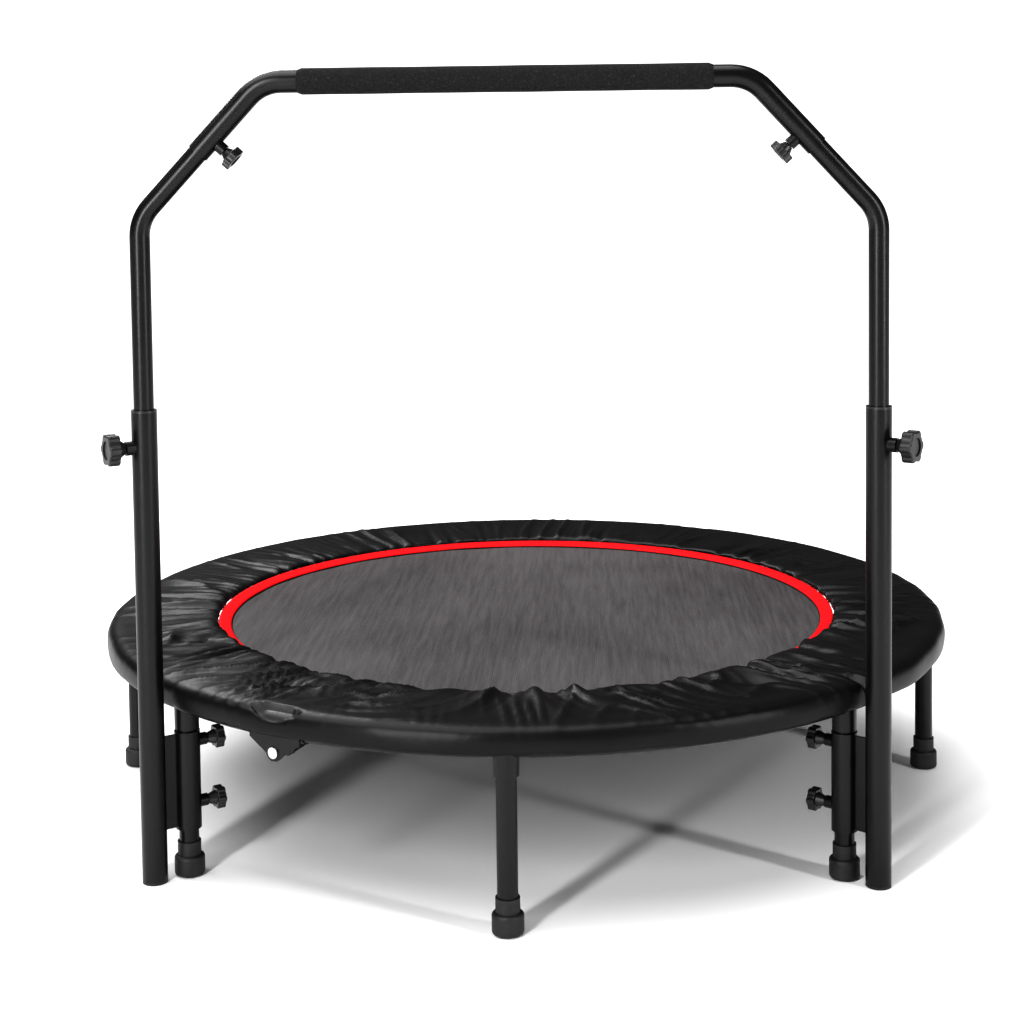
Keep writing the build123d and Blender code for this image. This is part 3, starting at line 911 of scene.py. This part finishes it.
# ---------------------------------------------------------------- the whole object
@dataclass
class Trampoline:
    """All the pieces, made round the CAD frame."""

    frame: dict
    finishes: dict[Slot, bpy.types.Material] = field(default_factory=dict)

    def make_finishes(self) -> None:
        """Make each slot's material once."""
        self.finishes = {
            Slot.POWDER: PaintFinish().build(),
            Slot.RUBBER: MouldFinish("foot_rubber", 0.010, 0.55, 0.00010).build(),
            Slot.PLASTIC: MouldFinish("knob_plastic", 0.011, 0.34, 0.00006).build(),
            Slot.ZINC: ZincFinish().build(),
            Slot.COVER: CoverFinish().build(),
            Slot.MAT: MatFinish().build(),
            Slot.WEBBING: TapeFinish("hem_webbing", grey(0.008), grey(0.016)).build(),
            Slot.BAND: TapeFinish("border_tape", (0.66, 0.003, 0.007), (0.76, 0.005, 0.010)).build(),
            Slot.FOAM: FoamFinish().build(),
        }

    def dress_frame(self) -> None:
        """Give every carried-over CAD node its finish."""
        slots = {row["node"]: Slot(row["material_slot"]) for row in self.frame["record"]["subparts"]}
        for name, node in self.frame["nodes"].items():
            node.data.materials.clear()
            node.data.materials.append(self.finishes[slots[name]])
            LOG.info("dressed %s as %s", name, slots[name].value)

    def add_cover(self) -> None:
        """Make the spring cover and give it its finish."""
        low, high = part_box("spring_cover_a")
        outer = max(high.x, -low.y)
        cover = SpringCover(inner_r=449.6 * MM, outer_r=outer, crown_z=high.z, hem_z=low.z,
                            slits=[(FOLD_DEG, 40 * MM, 9 * MM, 11 * MM),
                                   (FOLD_DEG + 180, 40 * MM, 9 * MM, 11 * MM),
                                   (-43.0, 9 * MM, 20 * MM, 18 * MM)])
        piece = cover.build()
        dress(piece, self.finishes[Slot.COVER])
        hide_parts("spring_cover_a", "spring_cover_b")
        blend_halves(piece)
        LOG.info("spring cover: %d faces", len(piece.data.polygons))

    def add_mat(self) -> None:
        """Make the mat, its hem and its border tape."""
        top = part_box("mat_a")[1].z
        band_low, band_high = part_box("red_border_a")
        mat = JumpMat(radius=452 * MM, top_z=top, band_inner_r=434 * MM,
                      band_rise=band_high.z - band_low.z - 1.2 * MM)
        cloth, band, hem = mat.weave(), mat.band(), mat.hem()
        for piece, slot, nodes in (
            (cloth, Slot.MAT, ("mat_a", "mat_b")),
            (band, Slot.BAND, ("red_border_a", "red_border_b")),
            (hem, Slot.WEBBING, ("mat_hem_a", "mat_hem_b")),
        ):
            dress(piece, self.finishes[slot])
            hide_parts(*nodes)
            blend_halves(piece)
            LOG.info("%s: %d faces", piece.name, len(piece.data.polygons))

    def add_springs(self) -> None:
        """Make the coils of both halves."""
        low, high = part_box("springs_a")
        springs = SpringSet(start_r=466 * MM, end_r=574 * MM, height=(low.z + high.z) / 2)
        for piece, half in zip(springs.build(), "ab"):
            dress(piece, self.finishes[Slot.ZINC])
            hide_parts(f"springs_{half}")
            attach(piece, HALF_A if half == "a" else HALF_B)
            LOG.info("%s: %d faces", piece.name, len(piece.data.polygons))

    def add_grip(self) -> None:
        """Make the foam sleeve."""
        low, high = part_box("foam_grip")
        grip = FoamGrip(low, high).build()
        dress(grip, self.finishes[Slot.FOAM])
        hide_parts("foam_grip")
        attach(grip, "handle_upper")
        LOG.info("grip: %d faces", len(grip.data.polygons))


def main() -> None:
    """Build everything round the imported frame."""
    logging.basicConfig(level=logging.INFO, format="%(name)s: %(message)s")
    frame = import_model()
    Studio().build()
    trampoline = Trampoline(frame)
    trampoline.make_finishes()
    trampoline.dress_frame()
    trampoline.add_cover()
    trampoline.add_mat()
    trampoline.add_springs()
    trampoline.add_grip()
    bpy.context.view_layer.update()


if __name__ == "__main__":
    main()
